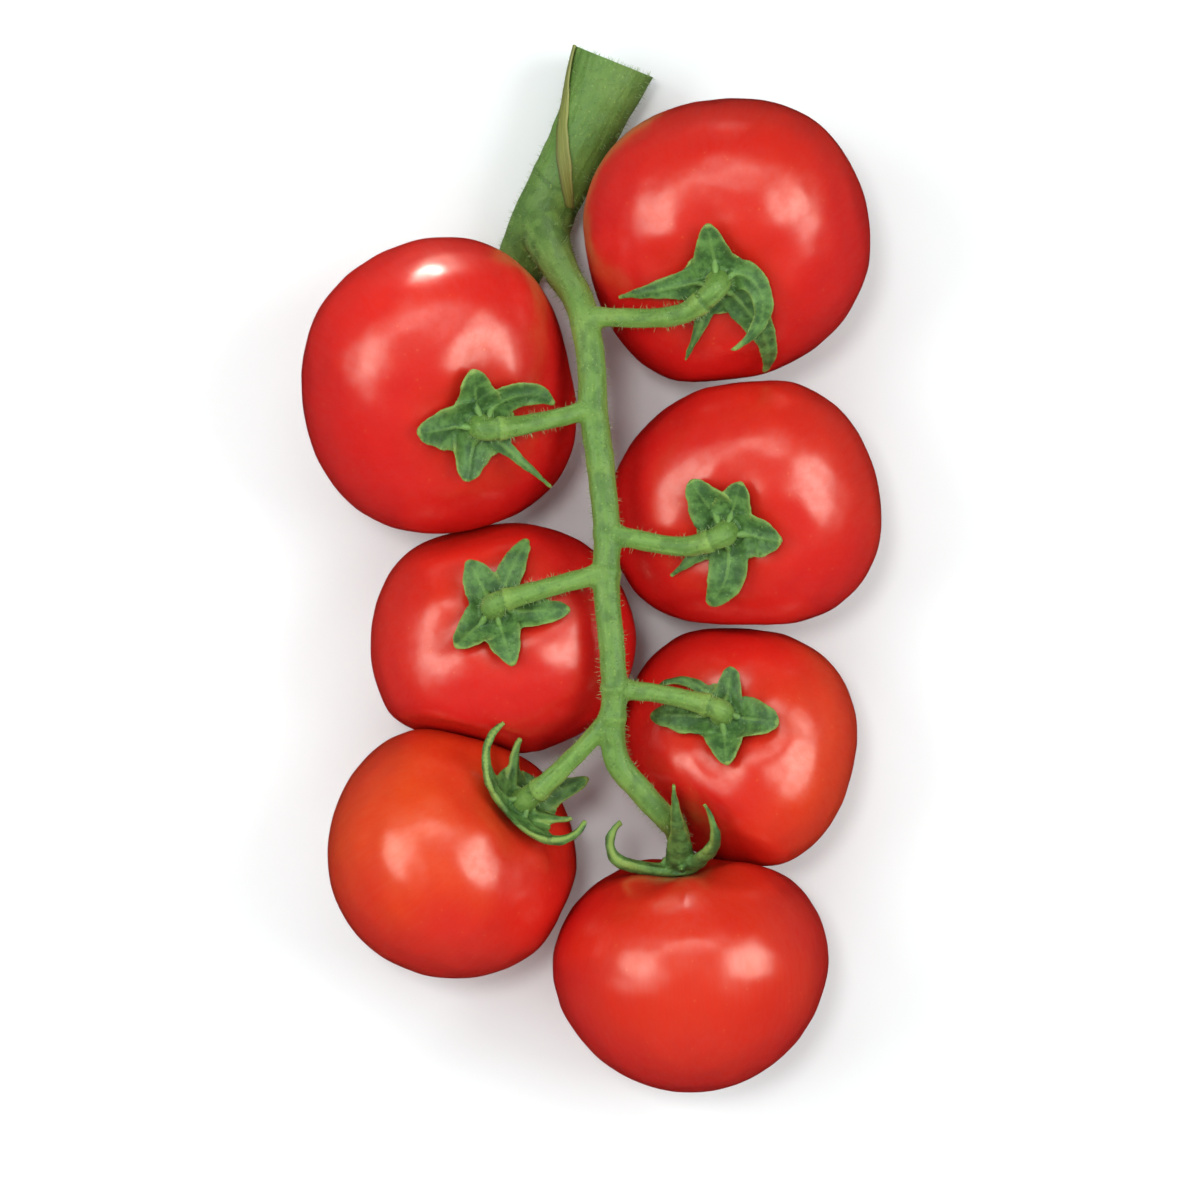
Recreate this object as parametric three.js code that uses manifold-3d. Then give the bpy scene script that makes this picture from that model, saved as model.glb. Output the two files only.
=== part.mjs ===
// A truss of seven ripe tomatoes, lying on a table as it was cut from the plant.
// Millimetres, +Z up. The truss lies along Y with its cut stem at +Y, and every fruit rests on z = 0.
// Each fruit has its own frame: origin at its middle, +Z along its core to the stem end.
import * as THREE from "three";
import { mergeVertices } from "three/addons/utils/BufferGeometryUtils.js";
import Module from "manifold-3d";

const wasm = await Module();
wasm.setup();

// Driving dimensions: lengths in mm, angles in degrees, azimuths from +X towards +Y seen from above.

// One entry for each fruit, in the order in which they leave the stalk.
// at: where its middle lies on the table.  radius: at its waist.  flat: half height over radius.
// lean, toward: how far its stem end tips from upright, and which way.
// oval, egg, square: how far its waist departs from a circle, as [share of the radius, azimuth].
// leaves: the stalk's Y where its own short stalk branches off (the last fruit ends the stalk).
// elbow: the bend in its short stalk, as [distance from the core, azimuth, height above the skin].
// sepals: azimuth of the root (turn), length, width, slope at the root (rise), slope gained by
// the tip (curl), azimuth gained by the tip (sweep) and how much of the width the tip keeps (tip).
const FRUITS = [
  {
    at: [24.1, 59], radius: 26.1, flat: 0.88, lean: 26, toward: -102,
    oval: [0.02, 57], egg: [0.019, 16], square: [0.021, -29],
    leaves: 43.3, elbow: [7, 219, 5],
    sepals: [
      { turn: 98, length: 10.4, width: 7.6, rise: 6, curl: 16, sweep: 0, tip: 0.26 },
      { turn: 185, length: 17.2, width: 6.4, rise: 6, curl: 4, sweep: 8, tip: 0.1 },
      { turn: 249, length: 15.6, width: 4, rise: 2, curl: 4, sweep: 0, tip: 0.1 },
      { turn: 318, length: 20.4, width: 6, rise: 4, curl: 0, sweep: -26, tip: 0.2 },
      { turn: 30, length: 12.6, width: 6, rise: 12, curl: 44, sweep: -106, tip: 0.2 },
    ],
  },
  {
    at: [-28.2, 32.1], radius: 26.2, flat: 0.88, lean: 31, toward: -43,
    oval: [0.05, -71], egg: [0.024, -37], square: [0.022, -31],
    leaves: 27.4, elbow: [7, 5, 4.6],
    sepals: [
      { turn: 104, length: 10, width: 8.6, rise: 6, curl: 12, sweep: 0, tip: 0.32 },
      { turn: 181, length: 11, width: 9.4, rise: 4, curl: 10, sweep: 0, tip: 0.26 },
      { turn: 254, length: 9.2, width: 8, rise: 8, curl: 18, sweep: 0, tip: 0.32 },
      { turn: 319, length: 17, width: 3.4, rise: 18, curl: 6, sweep: 0, tip: 0.1 },
      { turn: 58, length: 14.5, width: 7, rise: 10, curl: 20, sweep: -40, tip: 0.3 },
    ],
  },
  {
    at: [28, 10.8], radius: 24, flat: 0.87, lean: 20, toward: -130,
    oval: [0.052, 14], egg: [0.034, -37], square: [0.013, -40],
    leaves: 5, elbow: [6.5, 198, 4.6],
    sepals: [
      { turn: 121, length: 10.2, width: 8.2, rise: 6, curl: 12, sweep: 0, tip: 0.38 },
      { turn: 71, length: 9, width: 7.4, rise: 8, curl: 12, sweep: 0, tip: 0.32 },
      { turn: -6, length: 9.4, width: 8.2, rise: 8, curl: 16, sweep: 0, tip: 0.38 },
      { turn: -82, length: 12.6, width: 7.6, rise: 6, curl: 10, sweep: -24, tip: 0.38 },
      { turn: 220, length: 12.2, width: 4.6, rise: 0, curl: 4, sweep: 0, tip: 0.1 },
    ],
  },
  {
    at: [-16.5, -14.4], radius: 23, flat: 0.87, lean: 19, toward: 98,
    oval: [0.053, 9], egg: [0.023, 0], square: [0.013, -40],
    leaves: -2, elbow: [6.5, 16, 4.6],
    sepals: [
      { turn: 118, length: 9, width: 7.4, rise: 6, curl: 10, sweep: 0, tip: 0.26 },
      { turn: 67, length: 13.4, width: 5.4, rise: 4, curl: 10, sweep: 0, tip: 0.32 },
      { turn: 229, length: 9, width: 7.6, rise: 6, curl: 14, sweep: 0, tip: 0.26 },
      { turn: 288, length: 10.2, width: 7.2, rise: 6, curl: 10, sweep: 0, tip: 0.26 },
      { turn: -6, length: 12.2, width: 6.6, rise: 2, curl: 4, sweep: 6, tip: 0.32 },
    ],
  },
  {
    at: [26.7, -33.5], radius: 22.2, flat: 0.83, lean: 25, toward: 119,
    oval: [0.036, -75], egg: [0.021, 29], square: [0.015, 33],
    leaves: -22.4, elbow: [6.5, 163, 4.6],
    sepals: [
      { turn: 77, length: 7.6, width: 5.8, rise: 8, curl: 12, sweep: 0, tip: 0.32 },
      { turn: -13, length: 9.6, width: 8, rise: 6, curl: 12, sweep: 0, tip: 0.38 },
      { turn: -82, length: 9, width: 7.4, rise: 6, curl: 12, sweep: 0, tip: 0.26 },
      { turn: 182, length: 12.2, width: 7, rise: 0, curl: 4, sweep: -6, tip: 0.3 },
      { turn: 122, length: 12.4, width: 2.8, rise: 4, curl: 8, sweep: 34, tip: 0.2 },
    ],
  },
  {
    at: [-26.2, -52.8], radius: 23.3, flat: 0.91, lean: 55, toward: 37,
    oval: [0.01, 37], egg: [0.005, -12], square: [0.006, 26],
    leaves: -27.2, elbow: [0, 0, 9],
    sepals: [
      { turn: 184, length: 16.4, width: 7.6, rise: 22, curl: 62, sweep: -62, tip: 0.05 },
      { turn: 107, length: 11.4, width: 5, rise: 20, curl: 55, sweep: 0, tip: 0.1 },
      { turn: 268, length: 16, width: 7.4, rise: 24, curl: 115, sweep: 34, tip: 0.05 },
      { turn: 16, length: 13, width: 5, rise: 24, curl: 54, sweep: 0, tip: 0.3 },
      { turn: 322, length: 9.4, width: 4.6, rise: 24, curl: 54, sweep: 0, tip: 0.1 },
    ],
  },
  {
    at: [17.9, -73.7], radius: 24.8, flat: 0.86, lean: 80, toward: 96,
    oval: [0.01, 0], egg: [0.01, 41], square: [0.01, -40],
    sepals: [
      { turn: 195, length: 19, width: 4.4, rise: -6, curl: 172, sweep: 0, tip: 0.1 },
      { turn: 276, length: 20, width: 4.6, rise: 34, curl: 42, sweep: 0, tip: 0.1 },
      { turn: 316, length: 18, width: 4.4, rise: 18, curl: 104, sweep: -14, tip: 0.1 },
      { turn: 48, length: 5.4, width: 5, rise: 0, curl: 0, sweep: 0, tip: 0.3 },
      { turn: 128, length: 9, width: 5.4, rise: 4, curl: 10, sweep: 0, tip: 0.2 },
    ],
  },
];

// Fruit pairs that press together, as [front, behind, how far the front one hangs over in degrees].
const TOUCHING = [[1, 3, 0], [2, 4, 10], [3, 4, 0], [3, 5, 0], [6, 4, 10], [7, 5, 10], [7, 6, 0]];
const FRONT_SHARE = 0.4;
const CLEAR = 0.3;

// The hollow at the stem end, the dimple at the blossom end and the flat the fruit settles on.
const HOLLOW_DEPTH = 3.2;
const HOLLOW_WIDTH = 0.3;
const DIMPLE_DEPTH = 0.6;
const DIMPLE_WIDTH = 0.12;
const SHOULDER = 0.1;
const RIB_HEIGHT = 0.35;
const SETTLE = 0.4;

// The calyx: its hub and the blades of its five sepals.
const HUB_RADIUS = 3.2;
const HUB_HEIGHT = 2.6;
const SEPAL_ROOT = 1.2;
const SEPAL_LIFT = 1;
const SEPAL_THICK = 0.9;
const SEPAL_CUP = 0.2;

// The stalk that carries the fruits, as [x, y, z] down its middle, and the stem it was cut with.
const STALK = [
  [-8, 66, 9.5], [-8.4, 60, 14], [-5.8, 53, 23], [-2.2, 46, 32.5], [-0.3, 36, 36.5], [0.2, 27, 37],
  [1.4, 17.5, 37], [2.6, 5, 38], [2.5, -4, 39], [3.2, -13, 40], [3.9, -22.8, 39.5],
  [3.5, -29.5, 38.5], [4.6, -35.6, 37.5], [8.2, -40, 36.8], [12.2, -44.4, 35.6],
];
const STALK_RADIUS = [3.2, 3.4, 2.8, 2.7, 2.6, 2.5, 2.4, 2.4, 2.3, 2.2];
const PEDICEL_RADIUS = 1.9;
const KNUCKLE_RADIUS = 2.2;
const COLLAR_RADIUS = 2.5;
const KNOB_RADIUS = 2.9;
const STEM = [[4, 91.6, 11], [-0.4, 80.8, 12], [-5.8, 70, 12], [-10.4, 60.8, 9.5], [-14, 53, 6.2]];
const STEM_RADIUS = [7.7, 6.1, 5.4, 5.4, 4.4];

// The dried leaf base, a strip wound part of the way round the stem.
const BRACT_START = [0.005, 172];
const BRACT_END = [0.56, 62];
const BRACT_WIDTH = 2.6;
const BRACT_THICK = 0.7;

const radians = THREE.MathUtils.degToRad;
const clamp = THREE.MathUtils.clamp;
const lerp = THREE.MathUtils.lerp;

const skinRed = () => new THREE.MeshStandardMaterial({ color: 0xc81a1c, roughness: 0.3 });
const sepalGreen = () => new THREE.MeshStandardMaterial({ color: 0x4e753d, roughness: 0.7 });
const vineGreen = () => new THREE.MeshStandardMaterial({ color: 0x6f9452, roughness: 0.65 });
const bractOlive = () => new THREE.MeshStandardMaterial({ color: 0x747b34, roughness: 0.8 });

// Solids: a closed geometry as a solid body, and a solid body as a geometry.
function solidOf(geometry) {
  const plain = geometry.clone();
  plain.deleteAttribute("normal");
  plain.deleteAttribute("uv");
  const welded = mergeVertices(plain, 1e-4);
  return new wasm.Manifold(new wasm.Mesh({
    numProp: 3,
    vertProperties: new Float32Array(welded.attributes.position.array),
    triVerts: new Uint32Array(welded.index.array),
  }));
}

function geometryOf(solid) {
  const mesh = solid.getMesh();
  const geometry = new THREE.BufferGeometry();
  geometry.setAttribute("position", new THREE.BufferAttribute(new Float32Array(mesh.vertProperties), 3));
  geometry.setIndex(new THREE.BufferAttribute(new Uint32Array(mesh.triVerts), 1));
  geometry.computeVertexNormals();
  return geometry;
}

// Moves every corner of a geometry by a rule from its old place to its new one.
function reshape(geometry, rule) {
  const places = geometry.attributes.position;
  const corner = new THREE.Vector3();
  for (let i = 0; i < places.count; i += 1) {
    corner.fromBufferAttribute(places, i);
    const moved = rule(corner.x, corner.y, corner.z);
    places.setXYZ(i, moved.x, moved.y, moved.z);
  }
  return geometry;
}

// A value read off a list of values spread evenly from 0 to 1.
function along(values, share) {
  const place = clamp(share, 0, 1) * (values.length - 1);
  const before = Math.min(Math.floor(place), values.length - 2);
  return lerp(values[before], values[before + 1], place - before);
}

// A round rod bent along a curve.
function rod(curve, radiusAt, sides, steps) {
  const frames = curve.computeFrenetFrames(steps, false);
  return reshape(new THREE.CylinderGeometry(1, 1, 1, sides, steps), (x, y, z) => {
    const ring = Math.round((y + 0.5) * steps);
    const radius = radiusAt(ring / steps);
    return curve.getPointAt(ring / steps)
      .addScaledVector(frames.normals[ring], x * radius)
      .addScaledVector(frames.binormals[ring], -z * radius);
  });
}

// A smooth curve through a list of points.
function curveThrough(points) {
  return new THREE.CatmullRomCurve3(points.map((point) => new THREE.Vector3(...point)));
}

class Fruit {
  constructor(spec, number) {
    Object.assign(this, spec);
    this.number = number;
    this.halfHeight = this.radius * this.flat;
    this.presses = [];
    const lean = radians(this.lean);
    const toward = radians(this.toward);
    const level = Math.sin(lean);
    this.core = new THREE.Vector3(level * Math.cos(toward), level * Math.sin(toward), Math.cos(lean));
    this.group = new THREE.Group();
    this.group.name = `fruit_${number}`;
    this.group.quaternion.setFromUnitVectors(new THREE.Vector3(0, 0, 1), this.core);
    this.group.updateMatrixWorld(true);
    const lowest = new THREE.Box3().setFromBufferAttribute(
      this.skinGeometry().applyQuaternion(this.group.quaternion).attributes.position,
    ).min.z;
    this.group.position.set(this.at[0], this.at[1], -lowest - SETTLE);
    this.group.updateMatrixWorld(true);
  }

  // The waist's radius at an azimuth.
  waist(azimuth) {
    const wave = ([share, peak], lobes) => share * Math.cos(lobes * (azimuth - radians(peak)));
    return this.radius * (1 + wave(this.oval, 2) + wave(this.egg, 3) + wave(this.square, 4));
  }

  // The skin's height above the fruit's middle, for a share of the waist's radius and an azimuth.
  crown(share, azimuth, up) {
    const hollow = HOLLOW_DEPTH * Math.exp(-((share / HOLLOW_WIDTH) ** 2));
    const dimple = DIMPLE_DEPTH * Math.exp(-((share / DIMPLE_WIDTH) ** 2));
    const ring = Math.exp(-(((share - 0.42) / 0.16) ** 2));
    const ribs = RIB_HEIGHT * Math.cos(5 * azimuth + this.number) * ring;
    const body = this.halfHeight * (up + SHOULDER * share * share);
    return up > 0 ? body - hollow + ribs : body + dimple;
  }

  skin(polar, azimuth) {
    const share = Math.sin(polar);
    const ring = this.waist(azimuth) * share;
    const point = new THREE.Vector3(ring * Math.cos(azimuth), ring * Math.sin(azimuth), 0);
    point.z = this.crown(share, azimuth, Math.cos(polar));
    return this.presses.reduce(pressed, point);
  }

  // The skin's height under a point on the stem-end side.
  heightAt(x, y) {
    const azimuth = Math.atan2(y, x);
    const share = Math.min(Math.hypot(x, y) / this.waist(azimuth), 0.97);
    return this.crown(share, azimuth, Math.sqrt(1 - share * share));
  }

  // Rings lie closer together at the stem end, where the hollow is.
  skinGeometry() {
    const ball = new THREE.SphereGeometry(1, 24, 18).rotateX(Math.PI / 2);
    return reshape(ball, (x, y, z) => {
      const ring = Math.acos(clamp(z, -1, 1)) / Math.PI;
      return this.skin(Math.PI * ring ** 1.3, Math.atan2(y, x));
    });
  }

  // How far the body reaches from its middle in a level or sloping direction.
  reach(direction) {
    const local = direction.clone().applyQuaternion(this.group.quaternion.clone().invert());
    const level = Math.hypot(local.x, local.y);
    const round = Math.hypot(level * this.waist(Math.atan2(local.y, local.x)), local.z * this.halfHeight);
    return round + SHOULDER * this.halfHeight * local.z * level * level;
  }

  // A flat that keeps the skin behind a plane, given by its outward direction and distance.
  pressAgainst(direction, distance) {
    const facing = direction.clone().applyQuaternion(this.group.quaternion.clone().invert());
    this.presses.push({ facing, distance });
  }

  place(x, y, z) {
    return this.group.localToWorld(new THREE.Vector3(x, y, z));
  }

  hubTop() {
    return this.heightAt(0, 0) + HUB_HEIGHT;
  }
}

// Skin past a plane moves back on to it, and eases away from it over a millimetre or two.
function pressed(point, { facing, distance }) {
  const ease = 1.5;
  const past = point.dot(facing) - distance;
  if (past <= -ease) {
    return point;
  }
  const back = past >= ease ? past : (past + ease) ** 2 / (4 * ease);
  return point.addScaledVector(facing, -back);
}

const fruits = FRUITS.map((spec, i) => new Fruit(spec, i + 1));

for (const [front, behind, overhang] of TOUCHING) {
  const one = fruits[front - 1];
  const other = fruits[behind - 1];
  const between = other.group.position.clone().sub(one.group.position);
  const apart = between.length();
  between.normalize();
  const overlap = one.reach(between) + other.reach(between) - apart + CLEAR;
  const mine = one.reach(between) - overlap * FRONT_SHARE;
  const facing = between.clone().setZ(between.z - Math.tan(radians(overhang))).normalize();
  const square = facing.dot(between);
  one.pressAgainst(facing, mine * square - CLEAR / 2);
  other.pressAgainst(facing.clone().negate(), (apart - mine) * square - CLEAR / 2);
}

// The stalk ends in the last fruit's calyx. On its way there it lies against the fruit before.
const last = fruits[fruits.length - 1];
const stalkEnd = [last.place(0, 0, last.hubTop() + 5), last.place(0, 0, last.hubTop() + 0.6)];
const stalkCurve = curveThrough([...STALK, ...stalkEnd.map((point) => point.toArray())]);
const stemCurve = curveThrough(STEM);
const beside = fruits[fruits.length - 3];
const nearest = stalkCurve.getSpacedPoints(120)
  .map((point) => point.sub(beside.group.position))
  .reduce((best, offset) => (offset.length() < best.length() ? offset : best));
beside.pressAgainst(nearest.clone().normalize(), nearest.length() - STALK_RADIUS.at(-1) - 2 * CLEAR);

// One tomato: the skin, cut level where it settles on the table.
function tomato(fruit) {
  const table = new THREE.BoxGeometry(90, 90, 40).translate(fruit.at[0], fruit.at[1], -20);
  table.applyMatrix4(fruit.group.matrixWorld.clone().invert());
  const body = solidOf(fruit.skinGeometry()).subtract(solidOf(table));
  const mesh = new THREE.Mesh(geometryOf(body), skinRed());
  mesh.name = `tomato_${fruit.number}`;
  return mesh;
}

// One sepal: a thin blade that leaves the hub, follows the skin and lifts off it towards its tip.
function sepal(fruit, { turn, length, width, rise, curl, sweep, tip }) {
  const slopeAt = (share) => radians(rise + curl * share * share);
  const middle = (share) => {
    const step = share / 16;
    let out = SEPAL_ROOT;
    let lift = 0;
    for (let i = 0; i < 16; i += 1) {
      const slope = slopeAt((i + 0.5) * step);
      out += Math.cos(slope) * length * step;
      lift += Math.sin(slope) * length * step;
    }
    const azimuth = radians(turn + sweep * share * share);
    return { x: out * Math.cos(azimuth), y: out * Math.sin(azimuth), lift };
  };
  const widths = [0.85, 1, 0.86 + 0.3 * tip, 0.62 + 0.6 * tip, 0.36 + 0.75 * tip, tip];
  const section = new THREE.CylinderGeometry(1, 1, 1, 8, 5, false, Math.PI / 8);
  return reshape(section, (x, y, z) => {
    const share = y + 0.5;
    const slope = slopeAt(share);
    const here = middle(share);
    const ahead = middle(share + 0.01);
    const behind = middle(share - 0.01);
    const heading = new THREE.Vector2(ahead.x - behind.x, ahead.y - behind.y).normalize();
    heading.multiplyScalar(Math.cos(slope) < 0 ? -1 : 1);
    const half = Math.max((width * along(widths, share)) / 2, 0.35);
    const aside = (x / Math.cos(Math.PI / 8)) * half;
    const cupped = x * x * SEPAL_CUP * half;
    const thick = Math.sign(z) * Math.abs(z) ** 0.4 * (SEPAL_THICK / 2) + cupped;
    const back = -Math.sin(slope) * thick;
    const place = new THREE.Vector3(
      here.x + heading.y * aside + heading.x * back,
      here.y - heading.x * aside + heading.y * back,
      0,
    );
    const follow = Math.exp(-Math.max(here.lift, 0) / 3);
    const under = lerp(fruit.heightAt(here.x, here.y), fruit.heightAt(place.x, place.y), follow);
    place.z = under + SEPAL_LIFT + here.lift + Math.cos(slope) * thick;
    return place;
  });
}

// One calyx: five sepals grown together round the hub that the short stalk ends in.
function calyx(fruit) {
  const floor = fruit.heightAt(0, 0);
  const rim = HUB_RADIUS;
  const profile = [[0, 0.35], [rim, 0.95], [rim - 0.2, 1.7], [rim - 0.6, HUB_HEIGHT], [0, HUB_HEIGHT]];
  const hub = new THREE.LatheGeometry(profile.map(([x, y]) => new THREE.Vector2(x, y)), 14);
  hub.rotateX(Math.PI / 2).translate(0, 0, floor);
  const body = fruit.sepals.reduce((sum, spec) => sum.add(solidOf(sepal(fruit, spec))), solidOf(hub));
  const mesh = new THREE.Mesh(geometryOf(body), sepalGreen());
  mesh.name = `calyx_${fruit.number}`;
  return mesh;
}

// The stalk's middle where it passes a given Y.
function stalkAt(y) {
  let near = 0;
  let far = 1;
  for (let i = 0; i < 30; i += 1) {
    const half = (near + far) / 2;
    if (stalkCurve.getPointAt(half).y > y) {
      near = half;
    } else {
      far = half;
    }
  }
  return stalkCurve.getPointAt(near);
}

// A short stalk from the stalk to a fruit, with a knuckle on the way and a collar at the calyx.
function pedicel(fruit) {
  const [reach, azimuth, height] = fruit.elbow;
  const x = reach * Math.cos(radians(azimuth));
  const y = reach * Math.sin(radians(azimuth));
  const top = fruit.hubTop() + CLEAR;
  const curve = new THREE.CatmullRomCurve3([
    stalkAt(fruit.leaves),
    fruit.place(x, y, fruit.heightAt(x, y) + height),
    fruit.place(0, 0, top + 2),
    fruit.place(0, 0, top),
  ]);
  const radii = [2.3, PEDICEL_RADIUS, PEDICEL_RADIUS, KNUCKLE_RADIUS, PEDICEL_RADIUS, COLLAR_RADIUS];
  return solidOf(rod(curve, (share) => along(radii, share), 8, 10));
}

function knob(fruit) {
  const ball = new THREE.SphereGeometry(KNOB_RADIUS, 8, 6);
  return solidOf(ball.translate(...stalkAt(fruit.leaves).toArray()));
}

// The vine: the cut stem, the stalk and six short stalks, grown together with a knob at each branch.
function vine() {
  const stem = solidOf(rod(stemCurve, (share) => along(STEM_RADIUS, share), 14, 12));
  const stalk = solidOf(rod(stalkCurve, (share) => along(STALK_RADIUS, share), 10, 36));
  const branches = fruits.slice(0, -1);
  const body = branches.reduce((sum, fruit) => sum.add(pedicel(fruit)).add(knob(fruit)), stem.add(stalk));
  const mesh = new THREE.Mesh(geometryOf(body), vineGreen());
  mesh.name = "vine";
  return mesh;
}

// The bract lies just off the stem's surface, and its path gains turn as it goes along the stem.
function bract() {
  const onStem = (share, around, off) => {
    const ahead = stemCurve.getTangentAt(share);
    const side = new THREE.Vector3(ahead.y, -ahead.x, 0).normalize();
    const up = new THREE.Vector3().crossVectors(side, ahead);
    const radius = along(STEM_RADIUS, share) + off;
    return stemCurve.getPointAt(share)
      .addScaledVector(side, -Math.cos(around) * radius)
      .addScaledVector(up, Math.sin(around) * radius);
  };
  const widths = [1, 1, 0.95, 0.9, 0.85, 0.7, 0.4];
  const section = new THREE.CylinderGeometry(1, 1, 1, 8, 16, false, Math.PI / 8);
  const strip = reshape(section, (x, y, z) => {
    const share = y + 0.5;
    const place = lerp(BRACT_START[0], BRACT_END[0], share);
    const around = radians(lerp(BRACT_START[1], BRACT_END[1], share * share));
    const aside = (x * BRACT_WIDTH * along(widths, share)) / 2 / along(STEM_RADIUS, place);
    const off = CLEAR + BRACT_THICK / 2 + Math.sign(z) * Math.abs(z) ** 0.4 * (BRACT_THICK / 2);
    return onStem(place, around + aside, off + 0.2);
  });
  const mesh = new THREE.Mesh(geometryOf(solidOf(strip)), bractOlive());
  mesh.name = "bract";
  return mesh;
}

const truss = new THREE.Group();
truss.name = "truss";
truss.add(vine(), bract());
for (const fruit of fruits) {
  fruit.group.add(tomato(fruit), calyx(fruit));
  truss.add(fruit.group);
}

// The part's origin is under the middle of the whole truss.
const part = new THREE.Group();
part.name = "truss_of_tomatoes";
part.add(truss);
part.updateMatrixWorld(true);
const middle = new THREE.Box3().setFromObject(truss, true).getCenter(new THREE.Vector3());
truss.position.set(-middle.x, -middle.y, 0);

export default part;
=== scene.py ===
# %% [markdown]
# # A truss of seven tomatoes
# The imported solids of the truss are loaded first. They are a fixed frame: nothing here moves them.
# Each plain solid is then replaced by a finer piece of the same form, in the same place, and the new
# piece gets the finish of the real thing.

# %% Load the frame
import math
import random
from collections import namedtuple

import bmesh
import bpy
from mathutils import Matrix, Vector, kdtree, noise


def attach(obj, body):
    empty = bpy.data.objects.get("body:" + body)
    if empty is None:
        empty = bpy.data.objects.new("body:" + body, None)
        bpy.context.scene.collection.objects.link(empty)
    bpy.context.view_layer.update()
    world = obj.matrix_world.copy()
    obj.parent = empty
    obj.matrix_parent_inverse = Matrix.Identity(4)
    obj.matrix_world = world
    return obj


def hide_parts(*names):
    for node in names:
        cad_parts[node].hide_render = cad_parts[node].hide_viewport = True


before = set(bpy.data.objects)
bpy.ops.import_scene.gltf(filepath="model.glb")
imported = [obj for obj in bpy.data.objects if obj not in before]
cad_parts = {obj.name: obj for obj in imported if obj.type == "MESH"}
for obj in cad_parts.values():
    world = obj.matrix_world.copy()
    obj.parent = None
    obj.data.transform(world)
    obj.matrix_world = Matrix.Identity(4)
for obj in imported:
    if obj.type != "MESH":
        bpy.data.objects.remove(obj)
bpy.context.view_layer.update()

print("nodes:", sorted(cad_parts))

# %% [markdown]
# Garden produce is easier to think of in millimetres than in metres. All shapes below are worked out
# in millimetres over the table, and one matrix takes them to the frame's metres at the very end.
# SHIFT is the small step from the middle of the table drawing to the middle of the frame.

# %% Millimetres to metres
SHIFT = Vector((0.1244, 0.1226, 0.0))
TO_FRAME = Matrix.Scale(0.001, 4) @ Matrix.Translation(SHIFT)
UP = Vector((0, 0, 1))


def clamp(value, low=0.0, high=1.0):
    return max(low, min(high, value))


def mix(a, b, share):
    return a + (b - a) * share


def fade(value, start, end):
    """0 before start, 1 after end, and a smooth step between."""
    share = clamp((value - start) / (end - start))
    return share * share * (3 - 2 * share)


def bell(offset, width):
    """1 at no offset, falling off smoothly on both sides."""
    return math.exp(-((offset / width) ** 2))


def round_at(radius, azimuth):
    """The x and y at a distance from the middle and an azimuth in radians."""
    return radius * math.cos(azimuth), radius * math.sin(azimuth)


print("shift in mm:", SHIFT[:])

# %% [markdown]
# A new piece always goes the same way into the scene. Its mesh is moved to metres, so that the object
# itself can stay at the origin. It rides on the only body, takes the place of its solid, and gets its
# finishes.

# %% Put a piece into the scene
def mesh_from(bm, name):
    """Writes a bmesh to a new mesh and frees it."""
    mesh = bpy.data.meshes.new(name)
    bm.to_mesh(mesh)
    bm.free()
    return mesh


def new_object(name, data):
    made = bpy.data.objects.new(name, data)
    bpy.context.scene.collection.objects.link(made)
    return made


def add_piece(name, mesh, finishes, stands_for=None):
    mesh.transform(TO_FRAME)
    mesh.shade_smooth()
    made = new_object(name, mesh)
    for finish in finishes:
        mesh.materials.append(finish)
    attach(made, "root")
    if stands_for:
        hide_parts(stands_for)
    print(name, "has", len(mesh.polygons), "faces")


# %% [markdown]
# ## The finishes
# Every finish is a node material. A few helpers keep the node code short: one makes a material, one
# makes a node with its settings and inputs in a single call, and one makes a group with its sockets.
# An input that is given a socket is linked, and any other value is set on the input itself.

# %% Node helpers
def set_inputs(tree, node, values):
    for key, value in values.items():
        if isinstance(value, bpy.types.NodeSocket):
            tree.links.new(value, node.inputs[key])
        else:
            node.inputs[key].default_value = value


def add_node(tree, kind, inputs=None, **settings):
    made = tree.nodes.new(kind)
    for key, value in settings.items():
        setattr(made, key, value)
    set_inputs(tree, made, inputs or {})
    return made


def new_finish(name):
    finish = bpy.data.materials.new(name)
    finish.use_nodes = True
    tree = finish.node_tree
    print("new finish:", name)
    return finish, tree, tree.nodes["Principled BSDF"]


def new_group(name, numbers):
    """A node group that makes a mask from a place and some numbers."""
    group = bpy.data.node_groups.new(name, "ShaderNodeTree")
    group.interface.new_socket("Place", in_out="INPUT", socket_type="NodeSocketVector")
    for label in numbers:
        group.interface.new_socket(label, in_out="INPUT", socket_type="NodeSocketFloat")
    group.interface.new_socket("Mask", in_out="OUTPUT", socket_type="NodeSocketFloat")
    enter = group.nodes.new("NodeGroupInput")
    leave = group.nodes.new("NodeGroupOutput")
    print("new group:", name)
    return group, enter.outputs, leave.inputs


print("node helpers are ready")

# %% [markdown]
# Most finishes are one colour with tones laid over it, each through a mask. These helpers mix two
# colours, stretch a range of values, lay the tones, and add the few textures that every finish uses.

# %% Colour helpers
BUMP_DEPTH = 0.0003


def mix_colour(tree, share, first, second):
    made = add_node(tree, "ShaderNodeMix", {0: share, 6: first, 7: second}, data_type="RGBA")
    return made.outputs[2]


def spread(tree, value, low, high, to_low=0.0, to_high=1.0):
    made = add_node(
        tree, "ShaderNodeMapRange",
        {"Value": value, "From Min": low, "From Max": high, "To Min": to_low, "To Max": to_high},
    )
    return made.outputs["Result"]


def layered(tree, colour, layers):
    """Lays tones over a colour. Each layer is a mask, its greatest strength and a tone."""
    for mask, most, tone in layers:
        colour = mix_colour(tree, spread(tree, mask, 0, 1, 0, most), colour, tone)
    return colour


def attribute(tree, name, output="Fac"):
    return add_node(tree, "ShaderNodeAttribute", attribute_name=name).outputs[output]


def object_place(tree):
    return add_node(tree, "ShaderNodeTexCoord").outputs["Object"]


def fine_noise(tree, place, scale, detail):
    values = {"Vector": place, "Scale": scale, "Detail": detail}
    return add_node(tree, "ShaderNodeTexNoise", values).outputs["Fac"]


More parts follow.
